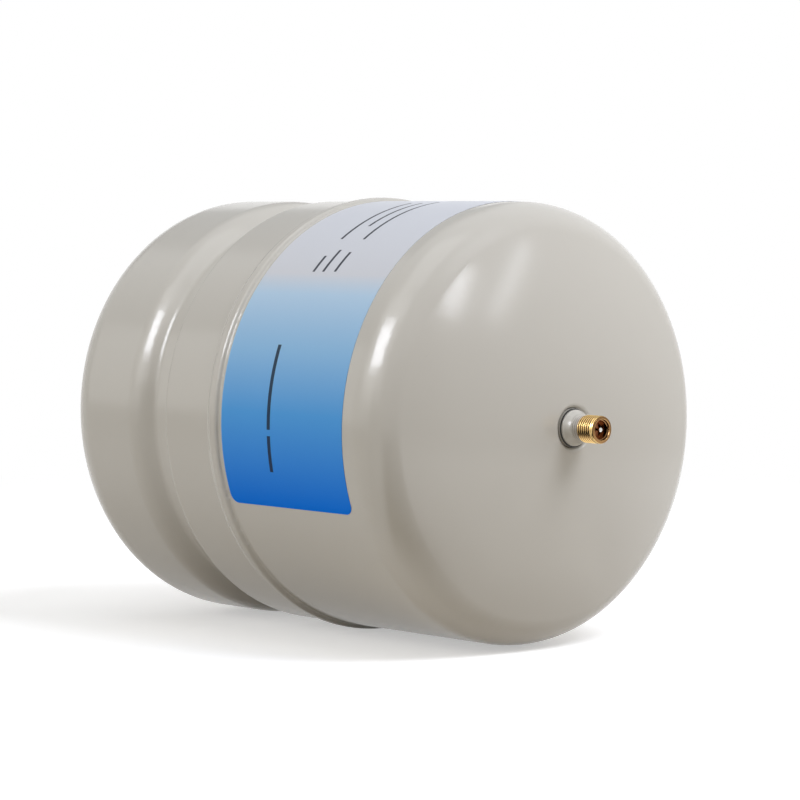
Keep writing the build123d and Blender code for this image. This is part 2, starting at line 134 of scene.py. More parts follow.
# The label's bars as (distance back from the dome's top, first and last angle, height).
PRINT_BARS = (
    (0.0485, 96, 124, 0.0010),
    (0.0533, 98, 117.5, 0.0010),
    (0.0581, 98, 124, 0.0010),
    (0.0486, 129.4, 136.6, 0.0010),
    (0.0536, 128.6, 136.7, 0.0010),
    (0.0577, 131, 136.8, 0.0010),
    (0.0570, 158.6, 180.6, 0.0014),
    (0.0570, 182.2, 191.5, 0.0014),
)


def length(name, description, default):
    return bpy.props.FloatProperty(
        name=name, description=description, default=default, unit="LENGTH", precision=5
    )


def angle(name, description, default):
    return bpy.props.FloatProperty(
        name=name, description=description, default=math.radians(default), subtype="ANGLE"
    )


def share(name, description, default):
    return bpy.props.FloatProperty(
        name=name, description=description, default=default, min=0, max=1, subtype="FACTOR"
    )


def colour(name, description, default):
    return bpy.props.FloatVectorProperty(
        name=name, description=description, default=default, min=0, max=1, size=3, subtype="COLOR"
    )


def count(name, description, default):
    return bpy.props.IntProperty(name=name, description=description, default=default, min=1)


class TankBodySettings(bpy.types.PropertyGroup):
    """Enamel and welds of the steel body."""

    enamel: colour("Enamel", "Colour of the body paint", (0.527, 0.5075, 0.464))
    enamel_gloss: share("Enamel roughness", "How blurred reflections in the paint are", 0.17)
    gloss_spread: share("Roughness spread", "How much that roughness varies over the paint", 0.05)
    enamel_drift: share("Drift", "How far the paint's colour wanders", 0.015)
    peel_size: length("Orange peel", "Width of the waves left in the paint", 0.0016)
    peel_height: length("Orange peel height", "Height of those waves", 0.000003)
    dust_size: length("Dust spacing", "Distance between dust grains in the paint", 0.006)
    dust_width: length("Dust grain", "Width of a dust grain in the paint", 0.00022)
    dust_shade: share("Dust shade", "Brightness of a dust grain beside the paint", 0.6)
    dust_cover: share("Dust cover", "How much of a dust grain shows through the paint", 0.35)
    seam_wall: length("Lap height", "Height of the bell over the air half", 0.00115)
    seam_edge: length("Seam edge", "Radius of the rounded edge of the seam weld", 0.00115)
    seam_slope: angle("Seam slope", "Steepest slope of the seam weld's face", 64)
    ripple_pitch: length("Ripple pitch", "Distance between ripples of the seam weld", 0.0015)
    ripple_height: length("Ripple height", "Height of the ripples", 0.00004)
    bead_wander: length("Bead wander", "How far the toe of the weld strays", 0.00022)
    seam_polish: share("Seam polish", "How much less rough the paint on the seam weld is", 0.07)
    lumps: count("Lumps", "Number of small lumps along the toe of the weld", 90)
    lump_width: length("Lump width", "Width of a lump", 0.00055)
    lump_height: length("Lump height", "Height of a lump", 0.00024)


class TankLabelSettings(bpy.types.PropertyGroup):
    """Print of the label."""

    pale: colour("Pale field", "Colour of the upper part of the label", (0.63, 0.65, 0.70))
    sky: colour("Sky", "Colour just below the pale part", (0.47, 0.64, 0.82))
    azure: colour("Azure", "Colour of the field's middle", (0.295, 0.55, 0.855))
    blue: colour("Blue", "Colour of the lower part", (0.10, 0.385, 0.855))
    deep: colour("Deep blue", "Colour at the lower edge", (0.0, 0.178, 0.845))
    ink: colour("Ink", "Colour of the slim bars", (0.025, 0.03, 0.045))
    ink_cover: share("Ink cover", "How much of the field the ink covers", 0.92)
    gloss: share("Label roughness", "How blurred reflections in the film are", 0.32)
    sheen: share("Label sheen", "Strength of the film's reflections", 0.03)


class TankValveSettings(bpy.types.PropertyGroup):
    """Threads and finishes of the air valve."""

    brass: colour("Brass", "Colour of the turned brass", (0.74, 0.52, 0.22))
    # Painted shade: this colour darkens the brass where the thread's valleys lie in shade.
    valley_shade: colour("Valley shade", "Colour of the brass in the thread's valleys", (0.17, 0.08, 0.03))
    # Painted shade: this colour darkens the brass deep in the stem's mouth, where shade falls.
    mouth_shade: colour("Mouth", "Colour of the shaded brass in the stem's mouth", (0.24, 0.10, 0.045))
    # This colour is partly the paint's real thin end in the thread and partly painted shade in every
    # painted valley.
    thin_paint_and_shade: colour("Thin paint and shade", "Colour of the paint's thin end in the thread", (0.24, 0.19, 0.17))
    lip_bare: length("Bare lip", "Radius up to which the rubber lip is free of paint", 0.0055)
    lip_depth: length("Bare wall", "How far down the lip's wall is free of paint", 0.0003)
    # The shift paints the shade of the recess round the collar onto the near side of the lip.
    lip_shift: length("Lip shift", "How far that bare ring lies to the near side", 0.00015)
    thread_pitch: length("Valve thread pitch", "Distance between the valve's threads", 0.000794)
    thread_depth: length("Valve thread depth", "Depth of the valve's thread", 0.00042)
    thread_foot: length("Thread foot", "Where the thread starts above the dome", 0.0023)
    spray_end: length("Overspray end", "How far above the dome paint covers the stem", 0.0050)
    nose_length: length("Nose", "Plain length between the thread and the tip", 0.0007)
    nose_radius: length("Nose radius", "Radius of the rounded tip", 0.0006)


class TankConnectionSettings(bpy.types.PropertyGroup):
    """Thread and finish of the water connection."""

    steel: colour("Stainless", "Colour of the stainless steel", (0.58, 0.57, 0.55))
    pitch: length("Pipe thread pitch", "Distance between the pipe threads", 0.001814)
    depth: length("Pipe thread depth", "Depth of the pipe thread", 0.001162)
    bore: length("Bore", "Radius of the water way", 0.008)
    chamfer: length("Chamfer", "Chamfer at the end of the thread", 0.0012)


class TankStageSettings(bpy.types.PropertyGroup):
    """Camera, floor and lights."""

    camera_place: bpy.props.FloatVectorProperty(
        name="Camera place",
        description="Where the camera stands",
        default=(0.8035, -0.6211, 0.0616),
        subtype="TRANSLATION",
        unit="LENGTH",
    )
    camera_pitch: angle("Camera pitch", "How far the camera looks down", 3.48)
    camera_turn: angle("Camera turn", "How far the camera is turned from straight along +Y", 48.69)
    camera_lens: bpy.props.FloatProperty(
        name="Lens", description="Focal length on a 36 mm frame", default=144.6, unit="CAMERA"
    )
    floor_colour: colour("Floor", "Colour of the floor", (0.45, 0.395, 0.31))
    floor_glow: share("Floor glow", "Own brightness of the floor near the tank", 0.42)
    shadow_depth: share("Shadow depth", "Share of the floor's look that the shadow takes away", 0.9)
    shadow_reach: length("Shadow reach", "Distance up to which the floor keeps its shadow", 0.22)
    white_reach: length("White reach", "Distance beyond which the floor is plain white", 0.55)
    surround: colour("Surround", "Light that comes from all round the room", (0.30, 0.297, 0.292))


SETTINGS = {
    "tank_body": TankBodySettings,
    "tank_label": TankLabelSettings,
    "tank_valve": TankValveSettings,
    "tank_connection": TankConnectionSettings,
    "tank_stage": TankStageSettings,
}


class Reading:
    """A number that varies over a surface. Arithmetic on it adds Math nodes to its wiring."""

    def __init__(self, wiring, output):
        self.wiring = wiring
        self.output = output

    def _math(self, operation, *values):
        return self.wiring.add("Math", {"operation": operation}, dict(enumerate(values)))

    def __add__(self, other):
        return self._math("ADD", self, other)

    __radd__ = __add__

    def __sub__(self, other):
        return self._math("SUBTRACT", self, other)

    def __rsub__(self, other):
        return self._math("SUBTRACT", other, self)

    def __mul__(self, other):
        return self._math("MULTIPLY", self, other)

    __rmul__ = __mul__

    def __truediv__(self, other):
        return self._math("DIVIDE", self, other)

    def __rtruediv__(self, other):
        return self._math("DIVIDE", other, self)

    def __pow__(self, other):
        return self._math("POWER", self, other)

    def __rpow__(self, other):
        return self._math("POWER", other, self)

    def largest(self, other):
        return self._math("MAXIMUM", self, other)

    def rise(self, low, high):
        """0 below low and 1 above high, with a smooth step between. Low may be above high."""
        return self.wiring.add(
            "MapRange", {"interpolation_type": "SMOOTHSTEP"}, {0: self, 1: low, 2: high}
        )

    def within(self, low, high, edge):
        """1 between low and high and 0 outside, with smooth edges."""
        return self.rise(low - edge, low + edge) * self.rise(high + edge, high - edge)


class Wiring:
    """Adds nodes to a material's or the world's node tree."""

    def __init__(self, tree):
        self.tree = tree

    def add(self, kind, settings=None, sockets=None, output=0):
        """Adds a node. Its settings come first, then its sockets take values or links."""
        node = self.tree.nodes.new("ShaderNode" + kind)
        for name, value in (settings or {}).items():
            if name == "stops":
                self._set_stops(node.color_ramp, value)
            else:
                setattr(node, name, value)
        for key, value in (sockets or {}).items():
            self.feed(node.inputs[key], value)
        return Reading(self, node.outputs[output])

    def _set_stops(self, ramp, stops):
        while len(ramp.elements) < len(stops):
            ramp.elements.new(1)
        for element, (place, tint) in zip(ramp.elements, stops):
            element.position = place
            element.color = (*tint, 1)

    def feed(self, socket, value):
        if isinstance(value, Reading):
            self.tree.links.new(value.output, socket)
        elif socket.type == "RGBA" and len(value) == 3:
            socket.default_value = (*value, 1)
        else:
            socket.default_value = value

    def mix(self, share, first, second):
        """A colour between first and second."""
        return self.add("Mix", {"data_type": "RGBA"}, {0: share, 6: first, 7: second}, output=2)

    def seen(self):
        """1 where the camera, a mirror or glass looks, and 0 for light that bounces."""
        path = self.add("LightPath").output.node.outputs
        camera, mirror, glass = (
            Reading(self, path[name])
            for name in ("Is Camera Ray", "Is Glossy Ray", "Is Transmission Ray")
        )
        return camera.largest(mirror).largest(glass)


class Finish(Wiring):
    """The nodes of one material, made round its Principled shader."""

    def __init__(self, name, **constants):
        self.material = bpy.data.materials.new(name)
        self.material.use_nodes = True
        super().__init__(self.material.node_tree)
        self.shader = self.tree.nodes["Principled BSDF"]
        self.shade(**constants)

    def shade(self, **sockets):
        """Sets or links sockets of the shader, named with low lines for spaces."""
        for name, value in sockets.items():
            title = name.replace("_", " ").title().replace("Ior", "IOR")
            self.feed(self.shader.inputs[title], value)

    def place(self):
        """Position on the piece, in the tank's own frame."""
        return self.add("TexCoord", output="Object")

    def axes(self):
        """The three coordinates of the position, as numbers."""
        apart = self.add("SeparateXYZ", sockets={0: self.place()})
        node = apart.output.node
        return [Reading(self, node.outputs[i]) for i in range(3)]

    def around(self):
        """Angle round the tank's axis: 0 at the far side, a quarter turn at the top."""
        _, y, z = self.axes()
        turn = self.add("Math", {"operation": "ARCTAN2"}, {0: z, 1: y})
        return self.add("Math", {"operation": "WRAP"}, {0: turn, 1: math.tau, 2: 0.0})

    def grain(self, width, detail=2.0, roughness=0.5, stretch=(1, 1, 1), **sockets):
        """Noise from 0 to 1 whose lumps are about width wide."""
        scaled = self.add("VectorMath", {"operation": "MULTIPLY"}, {0: self.place(), 1: stretch})
        return self.add(
            "TexNoise",
            {"normalize": True},
            {"Vector": scaled, "Scale": 0.5 / width, "Detail": detail, "Roughness": roughness,
             **sockets},
        )

    def bump(self, height, distance, strength=1.0):
        """Tilts the surface by a height from 0 to 1, which stands for distance."""
        self.shade(normal=self.add(
            "Bump", sockets={"Strength": strength, "Distance": distance, "Height": height}
        ))

    def wander(self, base, deeper, paler, **grain):
        """A colour that wanders from a share deeper than base to a share paler."""
        return self.mix(
            self.grain(**grain),
            [c * (1 - deeper) for c in base],
            [min(1, c * (1 + paler)) for c in base],
        )

    def wear(self, low, high, **grain):
        """Roughness that wanders between low and high."""
        self.shade(roughness=low + (high - low) * self.grain(**grain))

    def cover(self, *pieces):
        for piece in pieces:
            if not piece.material_slots:
                piece.data.materials.append(self.material)
            for holder in piece.material_slots:
                holder.material = self.material


def enamel(body, polish=0.0):
    """Glossy warm beige stove enamel, with orange peel and a few grains of dust. Polish takes
    away some of its roughness."""
    finish = Finish("body_enamel", ior=1.5)
    peel = finish.grain(body.peel_size, detail=1.5)
    grains = finish.add(
        "TexVoronoi",
        {"feature": "F1"},
        {"Vector": finish.place(), "Scale": 1 / body.dust_size, "Randomness": 1.0},
    )
    spot = grains.rise(body.dust_width / body.dust_size, 0)
    drift = body.enamel_drift
    paint = finish.wander(body.enamel, drift, drift, width=0.03, detail=3)
    dust = [c * body.dust_shade for c in body.enamel]
    finish.shade(base_color=finish.mix(spot * body.dust_cover, paint, dust))
    lowest = body.enamel_gloss - 0.4 * body.gloss_spread - polish
    finish.wear(lowest, lowest + body.gloss_spread, width=0.008, detail=4)
    spot_height = 4
    finish.bump(peel + spot_height * spot, body.peel_height)
    return finish


def turned_metal(name, tint, rough, groove=0.00012, depth=0.0000015, amount=0.05):
    """Metal with the fine rings that a lathe leaves across the tank's axis."""
    finish = Finish(name, metallic=1.0)
    rings = finish.grain(groove, detail=2, stretch=LATHE_STRETCH)
    finish.shade(base_color=finish.wander(tint, amount, amount, width=0.0012, detail=4))
    finish.wear(*rough, width=0.0009, detail=5)
    finish.bump(rings, depth)
    return finish


def moulded(name, tint, rough, grain=0.0003, depth=0.00001, amount=0.06):
    """Rubber or plastic as it leaves the mould, with a faint grain."""
    finish = Finish(name)
    finish.shade(base_color=finish.wander(tint, amount, amount, width=0.004, detail=4))
    finish.wear(*rough, width=0.0015, detail=4)
    finish.bump(finish.grain(grain, detail=3), depth)
    return finish


def plated(name, tint, rough):
    """Zinc plated sheet with faint blotches."""
    blotches_per_metre, blotch_share = 260.0, 0.08
    finish = Finish(name, metallic=1.0)
    blotches = finish.add(
        "TexVoronoi",
        {"feature": "F1"},
        {"Vector": finish.place(), "Scale": blotches_per_metre},
        output=1,
    )
    zinc = finish.wander(tint, 0.15, 0, width=0.004, detail=5)
    finish.shade(base_color=finish.mix(blotch_share, zinc, blotches))
    finish.wear(*rough, width=0.0022, detail=5)
    finish.bump(finish.grain(0.0005, detail=4), 0.000004)
    return finish


def stem_finish(valve, body):
    """Bright turned brass, with painted shade in the valleys of its thread and in its mouth, and
    body paint over its collar and the foot of its thread. The painted valleys darken partly as
    thin paint and partly as painted shade."""
    finish = Finish("painted_brass")
    x, y, z = finish.axes()
    radius = (y * y + z * z) ** 0.5
    edge = BODY_HIGH.x + valve.spray_end
    hole_low, hole_high = BODY_HIGH.x - 0.0012, BODY_HIGH.x - 0.0006
    mouth_low, mouth_high = STEM_BORE + 0.0002, STEM_BORE + 0.0006
    valley_low, valley_high = STEM_CREST - 0.00024, STEM_CREST - 0.00004
    # The paint thins out between the first two places; the third number is the least share of painted
    # shade in any painted valley.
    thin_low, thin_high, valley_shade_least = edge - 0.0022, edge - 0.0002, 0.35
    stray, blur = 0.00035, 0.00012
    # Shares of painted shade in the thread's valleys and in the mouth, and of the darker paint in the
    # painted valleys.
    valley_shade_share, mouth_shade_share, thin_and_shade_share = 0.9, 0.8, 0.8

    sway = stray * finish.grain(0.0012, detail=3) - stray / 2
    outside = x.rise(hole_low, hole_high)
    paint = (x + sway).rise(edge + blur, edge - blur) * outside
    inside = radius.rise(mouth_high, mouth_low)
    valley = radius.rise(valley_high, valley_low) * (1 - inside)
    metal = finish.wander(valve.brass, 0.14, 0, width=0.0015, detail=4)
    # Painted shade: the brass darkens in the thread's valleys and, more, in the mouth.
    valley_shaded = finish.mix(valley * valley_shade_share, metal, valve.valley_shade)
    mouth_shaded = finish.mix(inside * mouth_shade_share, valley_shaded, valve.mouth_shade)
    # Painted valleys darken as thin paint near the paint's edge, and as painted shade all along by a
    # least share.
    thin_and_shade = valley * (valley_shade_least + (1 - valley_shade_least) * x.rise(thin_low, thin_high))
    coat = finish.wander(body.enamel, 0.04, 0.03, width=0.0007, detail=3)
    thin_shaded_coat = finish.mix(thin_and_shade * thin_and_shade_share, coat, valve.thin_paint_and_shade)
    finish.shade(base_color=finish.mix(paint, mouth_shaded, thin_shaded_coat), metallic=1 - paint)

    paint_rough, brass_rough = 0.26, 0.13 + 0.12 * finish.grain(0.0006, detail=4)
    finish.shade(roughness=paint * paint_rough + (1 - paint) * brass_rough)
    rings = finish.grain(0.00009, detail=2, stretch=LATHE_STRETCH) * (1 - paint)
    peel = finish.grain(0.0006, detail=2) * paint
    peel_share = 6
    finish.bump(rings + peel_share * peel, 0.0000015)
    return finish


def bush_finish(valve, body):
    """Black rubber, with paint over the outer edge of its lip and the wall below it. Its bare ring
    lies wider on the near side, as painted shade of the recess round the collar.
    """
    finish = Finish("bush_rubber")
    x, y, z = finish.axes()
    hole_low, hole_high = BODY_HIGH.x - 0.0014, BODY_HIGH.x - 0.0008
    stray, wall_blur, rim_blur = 0.0001, 0.00006, 0.00004
    dark, pale = (0.013, 0.013, 0.013), (0.024, 0.024, 0.023)

    # Painted shade: the bare ring is shifted to the near side, so that its black stands for the shade
    # of the recess there.
    side, high = y + valve.lip_shift, z + 0.4 * valve.lip_shift
    reach = (side * side + high * high) ** 0.5 + stray * finish.grain(0.0006, detail=3)
    outside = x.rise(hole_low, hole_high)
    bare_end = BUSH_HIGH.x - valve.lip_depth
    wall = x.rise(bare_end + wall_blur, bare_end - wall_blur)
    rim = reach.rise(valve.lip_bare - rim_blur, valve.lip_bare + rim_blur)
    paint = outside * rim.largest(wall)
    rubber = finish.mix(finish.grain(0.002, detail=3), dark, pale)
    finish.shade(base_color=finish.mix(paint, rubber, body.enamel))
    finish.shade(roughness=0.5 - 0.25 * paint + 0.1 * finish.grain(0.0008, detail=4))
    finish.bump(finish.grain(0.0002, detail=3) * (1 - paint), 0.000006)
    return finish


def label_finish(label):
    """Printed film: a field that runs from pale grey to strong blue, with a few slim bars."""
    finish = Finish("label_print", ior=1.46, specular_ior_level=label.sheen)
    x, _, _ = finish.axes()
    turn = finish.around()
    low, high = math.radians(LABEL_START), math.radians(LABEL_END)
    stops = [
        (place, tuple(getattr(label, name)))
        for place, name in zip(FIELD_PLACES, ("pale", "sky", "azure", "blue", "deep"))
    ]
    field = finish.add("ValToRGB", {"stops": stops}, {0: (turn - low) / (high - low)})
    bars = print_bars(x, turn)
    finish.shade(base_color=finish.mix(bars * label.ink_cover, field, label.ink))
    spread = 0.04
    finish.wear(label.gloss - spread, label.gloss + spread, width=0.003, detail=4)
    finish.bump(finish.grain(0.0009, detail=3), 0.0000025)
    return finish


def print_bars(x, turn):
    """Slim bars where the label's lines of print are."""
    blur = 0.00008
    bars = None
    for back, start, end, height in PRINT_BARS:
        middle = BODY_HIGH.x - back
        bar = x.within(middle - height / 2, middle + height / 2, blur) * turn.within(
            math.radians(start), math.radians(end), blur / BODY_HIGH.z
        )
        bars = bar if bars is None else bars.largest(bar)
    return bars


def even_skin(*pieces):
    """Shades the tangent faces of CAD nodes as one skin, and keeps their sharp edges."""
    for piece in pieces:
        join = piece.modifiers.new("joined_faces", "WELD")
        join.merge_threshold = SHELL_GAP
        split = piece.modifiers.new("sharp_edges", "EDGE_SPLIT")
        split.split_angle = math.radians(CREASE)
        split.use_edge_sharp = False
        even = piece.modifiers.new("even_skin", "WEIGHTED_NORMAL")
        even.mode = "FACE_AREA"


def place_mesh(name, mesh, crease=CREASE):
    """Joins doubled points, shades smooth apart from sharp edges and makes the object."""
    bmesh.ops.remove_doubles(mesh, verts=mesh.verts, dist=POINT_GAP)
    bmesh.ops.dissolve_degenerate(mesh, edges=mesh.edges, dist=POINT_GAP)
    bmesh.ops.recalc_face_normals(mesh, faces=mesh.faces)
    data = bpy.data.meshes.new(name)
    mesh.to_mesh(data)
    mesh.free()
    data.shade_smooth()
    data.set_sharp_from_angle(angle=math.radians(crease))
    piece = bpy.data.objects.new(name, data)
    bpy.context.scene.collection.objects.link(piece)
    return piece


def ring_point(x, radius, turn):
    return (x, radius * math.cos(turn), radius * math.sin(turn))


def wobble(turn, laps, level):
    """Smooth noise from -1 to 1 that meets itself after a turn round the axis."""
    return noise.noise(Vector((math.cos(turn) * laps, math.sin(turn) * laps, level)))


def hump(place, middle, width):
    """A smooth hump of height 1."""
    return math.exp(-(((place - middle) / width) ** 2))


def join_rings(mesh, rings, closed=False):
    """Faces between neighbouring rings of points. Closed joins the last ring to the first."""
    others = rings[1:] + rings[:1] if closed else rings[1:]
    for first, second in zip(rings, others):
        for i in range(len(first)):
            k = (i + 1) % len(first)
            mesh.faces.new((first[i], first[k], second[k], second[i]))


def turn_profile(mesh, profile, segments):
    """Turns an open line of (x, radius) points about the tank's axis."""
    rings = []
    for x, radius in profile:
        rings.append([
            mesh.verts.new(ring_point(x, radius, math.tau * j / segments)) for j in range(segments)
        ])
    join_rings(mesh, rings)


def cut_thread(mesh, start, end, crest, depth, pitch, form, segments):
    """A helical thread between two places along the axis. Its rows follow the helix, and its
    depth runs out over one pitch at the start and a share of it at the end. form gives the
    depth's share across one pitch."""
    end_share = 0.6
    rows = []
    turns = math.ceil((end - start) / pitch) + 1
    steps = turns * segments
    for step in range(steps + segments + 1):
        turn = math.tau * (step % segments) / segments
        row = []
        for across, cut in form:
            x = start + pitch * (step / segments - 1 + across)
            x = min(max(x, start), end)
            fade = min(1, (x - start) / pitch) * min(1, (end - x) / (end_share * pitch))
            row.append(mesh.verts.new(ring_point(x, crest - depth * cut * fade, turn)))
        rows.append(row)
    for step in range(steps):
        row = rows[step] + [rows[step + segments][0]]
        ahead = rows[step + 1] + [rows[step + 1 + segments][0]]
        for i in range(len(form)):
            corners = (row[i], row[i + 1], ahead[i + 1], ahead[i])
            places = {round(v.co.x, 8) for v in corners}
            if len(places) > 1 or not places & {round(start, 8), round(end, 8)}:
                mesh.faces.new(corners)


# Forms of a thread as (share across one pitch, share of the depth).
SHARP_FORM = ((0.0, 0.0), (0.08, 0.06), (0.20, 0.36), (0.36, 0.84), (0.44, 1.0),
              (0.56, 1.0), (0.64, 0.84), (0.80, 0.36), (0.92, 0.06))
ROUND_FORM = ((0.0, 0.0), (0.07, 0.03), (0.15, 0.17), (0.26, 0.42), (0.37, 0.68), (0.44, 0.9),
              (0.5, 1.0), (0.56, 0.9), (0.63, 0.68), (0.74, 0.42), (0.85, 0.17), (0.93, 0.03))


def arc(centre, radius, start, end, steps):
    """Points of an arc on the (x, radius) section. Angles are in degrees."""
    return [
        (
            centre[0] + radius * math.cos(math.radians(start + (end - start) * i / steps)),
            centre[1] + radius * math.sin(math.radians(start + (end - start) * i / steps)),
        )
        for i in range(steps + 1)
    ]


def ride_for(piece, node, body="tank"):
    """The piece stands for a CAD node, which it hides, and rides on its body."""
    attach(piece, body)
    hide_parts(node)


class TANK_OT_body(bpy.types.Operator):
    """Paints the two drawn halves of the steel body"""

    bl_idname = "tank.body"
    bl_label = "Steel body"

    def execute(self, context):
        halves = NODES["water_shell"], NODES["air_shell"]
        enamel(context.scene.tank_body).cover(*halves)
        even_skin(*halves)
        return {"FINISHED"}


class TANK_OT_seam(bpy.types.Operator):
    """Lays the rippled weld round the lap seam"""

    bl_idname = "tank.seam"
    bl_label = "Seam weld"

    def execute(self, context):
        body = context.scene.tank_body
        piece = place_mesh("seam_bead", self.bead(body), crease=WELD_CREASE)
        ride_for(piece, "seam_weld")
        enamel(body, polish=body.seam_polish).cover(piece)
        return {"FINISHED"}

    def section(self, body):
        """Section of the weld, rounded at the bell's edge and running out on the air half."""
        tuck, sink, steps = 0.0002, 0.00004, 9
        skin = SEAM_HIGH.z - body.seam_wall
        slope = math.degrees(body.seam_slope)
        reach = body.seam_wall / (1 - math.cos(body.seam_slope))
        toe = reach - body.seam_edge
        toe_x = SEAM_LOW.x + reach * math.sin(body.seam_slope)
        crown = (SEAM_LOW.x, SEAM_HIGH.z - body.seam_edge)
        profile = [(SEAM_LOW.x - tuck, SEAM_HIGH.z - sink)]
        profile += arc(crown, body.seam_edge, 90, 90 - slope, steps)
        profile += arc((toe_x, skin + toe), toe, 270 - slope, 270, steps)[1:]
        return profile + [(toe_x + tuck / 2, skin - tuck), (SEAM_LOW.x - tuck, skin - tuck)]

    def bead(self, body):
        """The section laid round the tank, with ripples, lumps and a toe that strays."""
        steps_per_ripple, laps, level = 6, 14, 3
        lump_at, lump_spread = 0.8, 0.25
        lift_at, lift_spread, lift_share = 0.85, 0.2, 0.5
        overrun = 1.05
        skin = SEAM_HIGH.z - body.seam_wall
        profile = self.section(body)
        segments = steps_per_ripple * round(math.tau * skin / body.ripple_pitch)
        chance = random.Random(7)
        lumps = [
            (chance.uniform(0, math.tau), chance.uniform(0.45, 1.0), chance.uniform(0.5, 1.15))
            for _ in range(body.lumps)
        ]
        mesh = bmesh.new()
        rings = []
        for j in range(segments):
            turn = math.tau * j / segments
            stray = body.bead_wander * wobble(turn, laps, level)
            swell = self.swell(turn, skin, body, lumps)
            ripple = body.ripple_height * abs(math.sin(math.pi * turn * skin / body.ripple_pitch))
            ring = []
            for i, (x, radius) in enumerate(profile):
                down = min(1, max(0, (SEAM_HIGH.z - radius) / body.seam_wall))
                face = math.sin(math.pi * min(1, down * overrun)) if i < len(profile) - 2 else 0
                bulge = ripple + swell * hump(down, lump_at, lump_spread)
                lift = lift_share * swell * hump(down, lift_at, lift_spread) if face else 0
                ring.append(mesh.verts.new(
                    ring_point(x + stray * down + bulge * face, radius + lift, turn)
                ))
            rings.append(ring)
        join_rings(mesh, rings, closed=True)
        return mesh

    def swell(self, turn, skin, body, lumps):
        """Height of the lumps of the weld's toe at an angle."""
        total = 0
        for place, height, width in lumps:
            apart = abs((turn - place + math.pi) % math.tau - math.pi) * skin
            total += body.lump_height * height * hump(apart, 0, body.lump_width * width)
        return total


class TANK_OT_connection(bpy.types.Operator):
    """Cuts the pipe thread of the water connection and lays the weld round it"""

    bl_idname = "tank.connection"
    bl_label = "Water connection"

    def execute(self, context):
        settings = context.scene.tank_connection
        piece = place_mesh("threaded_nipple", self.nipple(settings))
        ride_for(piece, "connection_nipple")
        turned_metal("turned_stainless", settings.steel, rough=(0.2, 0.34)).cover(piece)
        ring = place_mesh("connection_bead", self.bead(), crease=WELD_CREASE)
        ride_for(ring, "connection_weld")
        enamel(context.scene.tank_body).cover(ring)
        return {"FINISHED"}

    def nipple(self, settings):
        segments, crest = 160, NIPPLE_CREST
        neck, relief, edge, bore_edge = 0.0016, 0.0003, 0.0006, 0.0004
        edge_middle = 0.3 * edge
        shoulder = NIPPLE_HIGH.z
        shoulder_back, spigot, socket, socket_floor = nipple_section()
        end = NIPPLE_LOW.x
        thread_start = end + settings.chamfer
        mesh = bmesh.new()
        cut_thread(
            mesh, thread_start, -neck, crest, settings.depth, settings.pitch, ROUND_FORM, segments
        )
        turn_profile(mesh, [
            (-neck, crest),
            (-relief, crest),
            (0.0, crest + relief),
            (0.0, shoulder - edge),
            (edge_middle, shoulder - edge_middle),
            (edge, shoulder),
            (shoulder_back, shoulder),
            (shoulder_back, spigot),
            (NIPPLE_HIGH.x, spigot),
            (NIPPLE_HIGH.x, socket),
            (socket_floor, socket),
            (socket_floor, settings.bore),
            (end + bore_edge, settings.bore),
            (end, settings.bore + bore_edge),
            (end, crest - settings.chamfer),
            (thread_start, crest),
        ], segments)
        return mesh

    def bead(self):
        """Fillet weld between the shoulder and the dome, with ripples."""
        ripple_pitch, ripple_height, steps_per_ripple = 0.0014, 0.00006, 8
        wander, laps, level = 0.0002, 6, 1
        belly_height, lean, rows = 0.00018, 0.7, 10
        tuck = 0.0002
        foot, top = JOINT_WELD_HIGH, JOINT_WELD_LOW
        shoulder = NIPPLE_HIGH.z
        shoulder_back = nipple_section()[0]
        ripples = round(math.tau * foot.z / ripple_pitch)
        segments = steps_per_ripple * ripples
        mesh = bmesh.new()
        rings = []
        for j in range(segments):
            turn = math.tau * j / segments
            ripple = ripple_height * abs(math.sin(ripples * turn / 2))
            height = belly_height + ripple + wander * wobble(turn, laps, level)
            line = []
            for i in range(rows + 1):
                done = i / rows
                out = lean * height * math.sin(math.pi * done)
                x = top.x + (foot.x - top.x) * done
                radius = shoulder + (foot.z - shoulder) * done
                line.append((x - out, radius + out))
            line += [
                (foot.x + 1.5 * tuck, foot.z - 3 * tuck),
                (shoulder_back, shoulder - tuck),
                (top.x, shoulder - tuck),
            ]
            rings.append([mesh.verts.new(ring_point(x, radius, turn)) for x, radius in line])
        join_rings(mesh, rings, closed=True)
        return mesh


def nipple_section():
    """Shoulder's back, spigot radius, socket radius and socket floor, read off the CAD node."""
    spigot_least, spigot_most = 0.0133, 0.0140
    socket_least, socket_most = 0.0100, 0.0115
    radii = {}
    for vertex in NODES["connection_nipple"].data.vertices:
        radius = round(math.hypot(vertex.co.y, vertex.co.z), 5)
        places = radii.setdefault(radius, set())
        places.add(round(vertex.co.x, 6))
    shoulder_back = max(radii[round(NIPPLE_HIGH.z, 5)])
    spigot = next(r for r in sorted(radii) if spigot_least < r < spigot_most)
    socket = next(r for r in sorted(radii) if socket_least < r < socket_most)
    return shoulder_back, spigot, socket, min(radii[socket])


class TANK_OT_inside(bpy.types.Operator):
    """Finishes the lining, its seal, the diaphragm and the clench ring"""

    bl_idname = "tank.inside"
    bl_label = "Lining and diaphragm"

    def execute(self, context):
        moulded("lining_plastic", (0.70, 0.71, 0.67), rough=(0.38, 0.5), grain=0.0008).cover(
            NODES["water_liner"]
        )
        moulded("black_rubber", (0.018, 0.018, 0.019), rough=(0.5, 0.66)).cover(
            NODES["diaphragm"], NODES["liner_seal"], NODES["core_washer"]
        )
        plated("plated_steel", (0.56, 0.56, 0.55), rough=(0.26, 0.42)).cover(
            NODES["clench_ring"], NODES["valve_washer"]
        )
        return {"FINISHED"}


